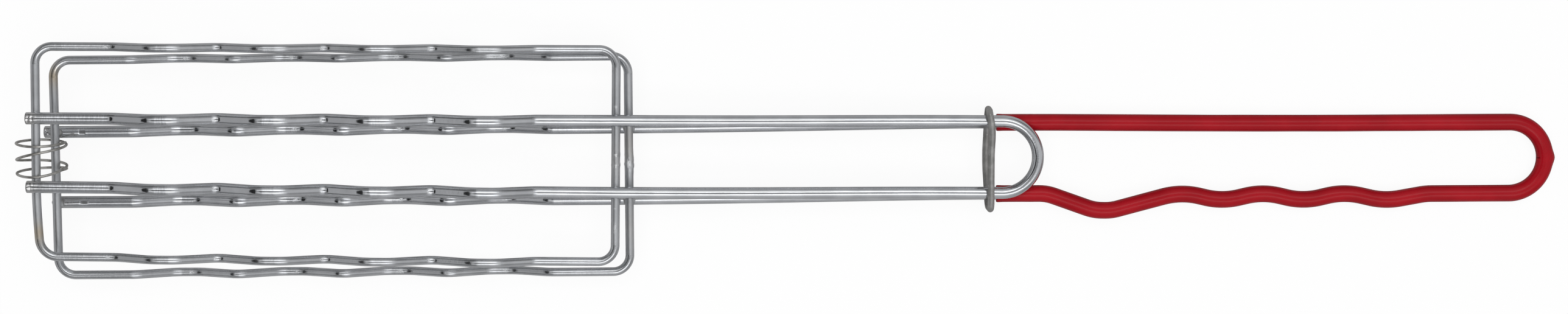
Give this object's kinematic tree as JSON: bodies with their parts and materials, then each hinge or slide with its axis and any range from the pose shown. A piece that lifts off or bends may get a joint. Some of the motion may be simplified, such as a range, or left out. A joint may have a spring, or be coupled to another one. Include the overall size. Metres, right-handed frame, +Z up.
{
  "type": "sausage grill basket",
  "caption": "Flat hinged wire grill basket with pressed cross pockets for sausages, a long dip-coated wire handle with finger waves and a sliding ring lock.",
  "frame": {"origin": "bottom centre of the closed basket's box, on the surface it lies on", "axes": "+X along the legs towards the coated handle, +Z up through the flat of the basket, +Y across it"},
  "size_m": [0.7064, 0.111, 0.0441],
  "materials": {
    "bright_rod": "bright zinc and chromium plated steel rod",
    "bright_frame_wire": "bright plated steel wire, a little duller near the welds",
    "weld_metal": "plated over resistance weld squeeze-out",
    "grip_coat": "glossy deep red PVC dip coat",
    "ring_steel": "dull grey steel wire",
    "spring_steel": "thin grey spring wire"
  },
  "bodies": {
    "lower": {"lower_handle_rod": "bright_rod", "lower_frame": "bright_frame_wire", "lower_welds": "weld_metal", "handle_grip": "grip_coat"},
    "coil": {"hinge_spring": "spring_steel"},
    "upper": {"upper_rod": "bright_rod", "upper_frame": "bright_frame_wire", "upper_welds": "weld_metal"},
    "ring": {"locking_ring": "ring_steel"}
  },
  "joints": [
    {"name": "basket_spread", "type": "hinge", "parent": "lower", "child": "coil", "pos_m": [0.09124, -0.00381, 0.01085], "axis": [0, 1, 0], "range_deg": [0, 0.22]},
    {"name": "lid_hinge", "type": "hinge", "parent": "coil", "child": "upper", "pos_m": [-0.34187, 0.0049, 0.0315], "axis": [-0.0173, -0.9998, 0], "range_deg": [0, 175]},
    {"name": "ring_slide", "type": "slide", "parent": "lower", "child": "ring", "axis": [0.9999, 0, -0.0148], "range_m": [-0.006, 0.026]}
  ]
}
